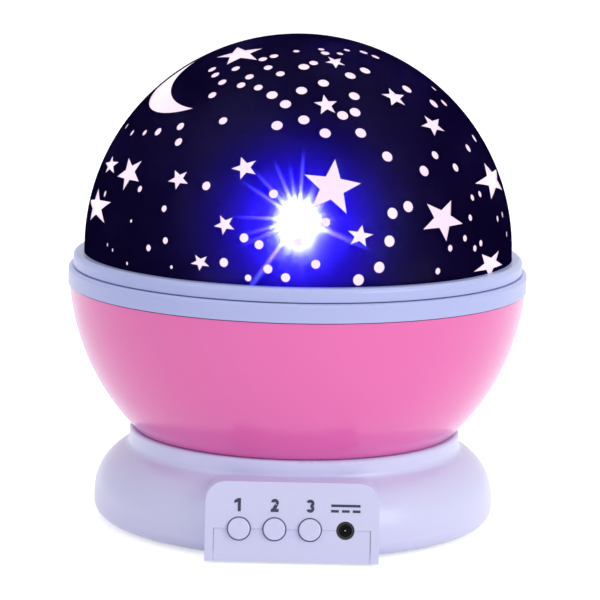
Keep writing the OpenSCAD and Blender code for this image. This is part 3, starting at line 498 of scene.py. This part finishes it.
starLens = {
    "coreColor": "#d4e6ff",
    "rayColor": "#a4c2ff",
    "washColor": "#4a1ae6",
    "power": 30.0,
    "lift": 9.6,  # degrees the beam points up
    "ahead": 3.8,  # from the middle of the lamp, so that the lens does not shade it
    "rayScale": 8.0,
    "rayFrom": 0.43,
    "rayTo": 0.75,
    "rayReach": 0.5,  # where the longest ray ends, as the tangent of its angle
    "rayGain": 2.6,
    "coreReach": 0.2,
    "coreGain": 0.3,
    "washReach": 1.2,
    "washGain": 0.12,
    "rayTaper": 1.5,
    "fallTaper": 2.0,
    "softness": 0.5,
}


def addStarLens(v):
    # the lens throws a small star on the film: tapered rays about the beam
    # t = the tangent of the angle off the beam
    # rays = rayGain * max(0, ridge(direction about the beam) - t / rayReach) ^ rayTaper
    # core and wash = gain * max(0, 1 - t / reach) ^ fallTaper
    data = bpy.data.lights.new("starLens", "POINT")
    data.energy = v["power"]
    data.shadow_soft_size = v["softness"] * mm
    data.use_nodes = True
    tree = data.node_tree
    tree.nodes.clear()
    way = addNode(tree, "TexCoord").outputs["Normal"]
    parts = addNode(tree, "SeparateXYZ", None, {0: way}).outputs
    flat = addNode(tree, "CombineXYZ", None, {0: parts["X"], 1: parts["Y"]})
    off = addNode(tree, "VectorMath", {"operation": "LENGTH"}, {0: flat.outputs[0]})
    tangent = addNode(tree, "Math", {"operation": "DIVIDE"}, {0: off.outputs["Value"], 1: parts["Z"]})
    around = addNode(tree, "VectorMath", {"operation": "NORMALIZE"}, {0: flat.outputs[0]})
    ridge = addNode(tree, "TexNoise", {"Scale": v["rayScale"], "Detail": 1.0}, {"Vector": around.outputs[0]})
    height = addNode(tree, "MapRange", {"From Min": v["rayFrom"], "From Max": v["rayTo"]},
                     {"Value": ridge.outputs[0]})
    fall = addNode(tree, "Math", {"operation": "MULTIPLY", 1: -1 / v["rayReach"]}, {0: tangent.outputs[0]})
    ray = addNode(tree, "Math", {"operation": "ADD", "use_clamp": True},
                  {0: height.outputs[0], 1: fall.outputs[0]})
    taper = addNode(tree, "Math", {"operation": "POWER", 1: v["rayTaper"]}, {0: ray.outputs[0]})
    rays = addNode(tree, "Math", {"operation": "MULTIPLY", 1: v["rayGain"]}, {0: taper.outputs[0]})
    amounts = {"ray": rays}
    for name in ("core", "wash"):
        near = addNode(tree, "MapRange", {"From Max": v[name + "Reach"], "To Min": 1.0, "To Max": 0.0},
                       {"Value": tangent.outputs[0]})
        eased = addNode(tree, "Math", {"operation": "POWER", 1: v["fallTaper"]}, {0: near.outputs[0]})
        amounts[name] = addNode(tree, "Math", {"operation": "MULTIPLY", 1: v[name + "Gain"]},
                                {0: eased.outputs[0]})
    front = addNode(tree, "Math", {"operation": "GREATER_THAN", 1: 0.0}, {0: parts["Z"]})
    light = None
    for name, amount in amounts.items():
        ahead = addNode(tree, "Math", {"operation": "MULTIPLY"}, {0: amount.outputs[0], 1: front.outputs[0]})
        glow = addNode(tree, "Emission", {"Color": toLinear(v[name + "Color"])},
                       {"Strength": ahead.outputs[0]})
        light = glow if light is None else addNode(
            tree, "AddShader", None, {0: light.outputs[0], 1: glow.outputs[0]})
    tree.links.new(light.outputs[0], addNode(tree, "OutputLight").inputs["Surface"])
    lens = bpy.data.objects.new("starLens", data)
    bpy.context.scene.collection.objects.link(lens)
    beam = Vector((0, -math.cos(math.radians(v["lift"])), math.sin(math.radians(v["lift"]))))
    place = Vector((0, 0, lamp["ledZ"] * mm)) + beam * v["ahead"] * mm
    lens.matrix_world = Matrix.Translation(place) @ beam.to_track_quat("Z", "Y").to_matrix().to_4x4()
    lens.light_linking.receiver_collection = lampReach


addStarLens(starLens)
print("star lens aimed")


dome = {
    "centreZ": 78.7,
    "skinR": 61.4,
    "skinThick": 0.4,
    "filmColor": "#05001e",
    "filmPatch": 14.0,
    "filmPatchDepth": 0.25,
    "inkGrain": 0.8,
    "inkStrength": 0.2,
    "inkHeight": 0.01,
    "glintShare": 0.001,
    "glintRough": 0.3,
    "glintDrift": 0.09,
    "openShare": 0.03,
    "haloShare": 0.5,  # of what comes through, against the core
    "washShare": 0.3,  # of what comes through, against the first two
    "frostShare": 0.08,
    "frostTint": "#dfe4ff",
    # painted glow of the shell's outer face, its colour and strength: the shell is no lamp
    "paintedGlowColor": "#fde6fb",
    "paintedGlowStrength": 0.95,
    "frostGrain": 0.7,  # drawn coarser than the real blasting, so that it shows
    "frostDepth": 0.05,
    "frostSmoothest": 0.2,
    "frostRoughest": 0.34,
    "frostStrength": 0.3,
    "frostHeight": 0.02,
    "shellColor": "#201c20",
    "shellDrift": 0.15,
    "shellMiddle": 0.9,  # depth under the skin that parts the shell's outer face from its inner one
    "shellTint": (0.98, 0.98, 1.0, 1),
}


def outsideOf(tree, centreZ, radius):
    # 1 where the object's own position is farther from the dome's centre than radius
    place = addNode(tree, "TexCoord")
    offset = addNode(tree, "VectorMath", {"operation": "SUBTRACT", 1: (0, 0, centreZ * mm)},
                     {0: place.outputs["Object"]})
    distance = addNode(tree, "VectorMath", {"operation": "LENGTH"}, {0: offset.outputs[0]})
    return addNode(tree, "Math", {"operation": "GREATER_THAN", 1: radius * mm},
                   {0: distance.outputs["Value"]}).outputs[0]


def mixOf(tree, share, first, second):
    # a number is set on the socket, a link is made to it
    if isinstance(share, float):
        return addNode(tree, "MixShader", {0: share}, {1: first, 2: second}).outputs[0]
    return addNode(tree, "MixShader", None, {0: share, 1: first, 2: second}).outputs[0]


# how the film spreads the light that comes through it: three lobes, each bent more than the last,
# and the last a deep blue
spreads = {
    "core": {"tint": "#7a76f4", "rough": 0.9, "ior": 1.04},
    "halo": {"tint": "#747af0", "rough": 0.7, "ior": 1.15},
    "wash": {"tint": "#3e14ec", "rough": 1.0, "ior": 1.3},
}


def filmMaterial(v):
    # polyester film printed night blue: nearly opaque, it lets a little light through and spreads it
    material, tree, out = newMaterial("printedNightFilm")
    outside = outsideOf(tree, v["centreZ"], v["skinR"] - v["skinThick"] / 2)
    place = addNode(tree, "TexCoord").outputs["Object"]
    patches = addNode(tree, "TexNoise", {"Scale": 1 / (v["filmPatch"] * mm), "Detail": 4.0},
                      {"Vector": place})
    shade = addNode(tree, "MapRange", {"To Min": 1 - v["filmPatchDepth"], "To Max": 1 + v["filmPatchDepth"]},
                    {"Value": patches.outputs[0]})
    ink = addNode(tree, "HueSaturation", {"Color": toLinear(v["filmColor"])}, {"Value": shade.outputs[0]})
    rough = addNode(tree, "MapRange", {"To Min": v["glintRough"] - v["glintDrift"],
                                       "To Max": v["glintRough"] + v["glintDrift"]},
                    {"Value": patches.outputs[0]})
    grain = addNode(tree, "TexNoise", {"Scale": 1 / (v["inkGrain"] * mm), "Detail": 2.0}, {"Vector": place})
    bump = addNode(tree, "Bump", {"Strength": v["inkStrength"], "Distance": v["inkHeight"] * mm},
                   {"Height": grain.outputs[0]})
    inked = addNode(tree, "BsdfPrincipled", {"Specular IOR Level": 0.0}, {
        "Base Color": ink.outputs[0], "Roughness": rough.outputs[0], "Normal": bump.outputs[0]})
    glint = addNode(tree, "BsdfAnisotropic", None,
                    {"Roughness": rough.outputs[0], "Normal": bump.outputs[0]})
    surface = mixOf(tree, v["glintShare"], inked.outputs[0], glint.outputs[0])
    core, halo, wash = [addNode(tree, "BsdfRefraction", {
        "Color": toLinear(lobe["tint"]), "Roughness": lobe["rough"], "IOR": lobe["ior"]}).outputs[0]
        for lobe in spreads.values()]
    through = mixOf(tree, v["haloShare"], core, halo)
    through = mixOf(tree, v["washShare"], through, wash)
    frost = addNode(tree, "BsdfTranslucent", {"Color": toLinear(v["frostTint"])})
    through = mixOf(tree, v["frostShare"], through, frost.outputs[0])
    body = mixOf(tree, v["openShare"], surface, through)
    clear = addNode(tree, "BsdfTransparent")
    tree.links.new(mixOf(tree, outside, clear.outputs[0], body), out.inputs["Surface"])
    return material


def shellMaterial(v):
    # clear polycarbonate with a frost on its outer face: the eye sees a painted glow there, which stands in
    # for the lamp's light in the frost; the lamp's light goes through it
    material, tree, out = newMaterial("frostedShellPaintedGlow")
    outside = outsideOf(tree, v["centreZ"], v["skinR"] - v["skinThick"] - v["shellMiddle"])
    rays = addNode(tree, "LightPath")
    looked = addNode(tree, "Math", {"operation": "MAXIMUM"},
                     {0: rays.outputs["Is Camera Ray"], 1: rays.outputs["Is Glossy Ray"]})
    # a ray that came through the film is a mirror ray too, and looks past the shell
    direct = addNode(tree, "Math", {"operation": "SUBTRACT", "use_clamp": True},
                     {0: looked.outputs[0], 1: rays.outputs["Is Transmission Ray"]})
    # where the painted glow shows: camera and mirror rays on the shell's outer face
    paintedGlowShown = addNode(tree, "Math", {"operation": "MULTIPLY"}, {0: direct.outputs[0], 1: outside})
    clear = addNode(tree, "BsdfTransparent", {"Color": v["shellTint"]})
    place = addNode(tree, "TexCoord").outputs["Object"]
    frost = addNode(tree, "TexNoise", {"Scale": 1 / (v["frostGrain"] * mm), "Detail": 3.0},
                    {"Vector": place}).outputs[0]
    # strength of the painted glow, drifting a little with the frost grain
    light = addNode(tree, "MapRange", {"To Min": v["paintedGlowStrength"] * (1 - v["frostDepth"]),
                                       "To Max": v["paintedGlowStrength"] * (1 + v["frostDepth"])},
                    {"Value": frost})
    rough = addNode(tree, "MapRange", {"To Min": v["frostSmoothest"], "To Max": v["frostRoughest"]},
                    {"Value": frost})
    shade = addNode(tree, "MapRange", {"To Min": 1 - v["shellDrift"], "To Max": 1 + v["shellDrift"]},
                    {"Value": frost})
    paint = addNode(tree, "HueSaturation", {"Color": toLinear(v["shellColor"])},
                    {"Value": shade.outputs[0]})
    bump = addNode(tree, "Bump", {"Strength": v["frostStrength"], "Distance": v["frostHeight"] * mm},
                   {"Height": frost})
    # painted glow: emission on the outer face stands in for the lamp's light in the frost
    lit = addNode(tree, "BsdfPrincipled", {"Emission Color": toLinear(v["paintedGlowColor"])}, {
        "Base Color": paint.outputs[0], "Roughness": rough.outputs[0],
        "Emission Strength": light.outputs[0], "Normal": bump.outputs[0]})
    tree.links.new(mixOf(tree, paintedGlowShown.outputs[0], clear.outputs[0], lit.outputs[0]), out.inputs["Surface"])
    return material


dress("dome_skin", filmMaterial(dome))
dress("dome_shell", shellMaterial(dome))
print("dome finished")
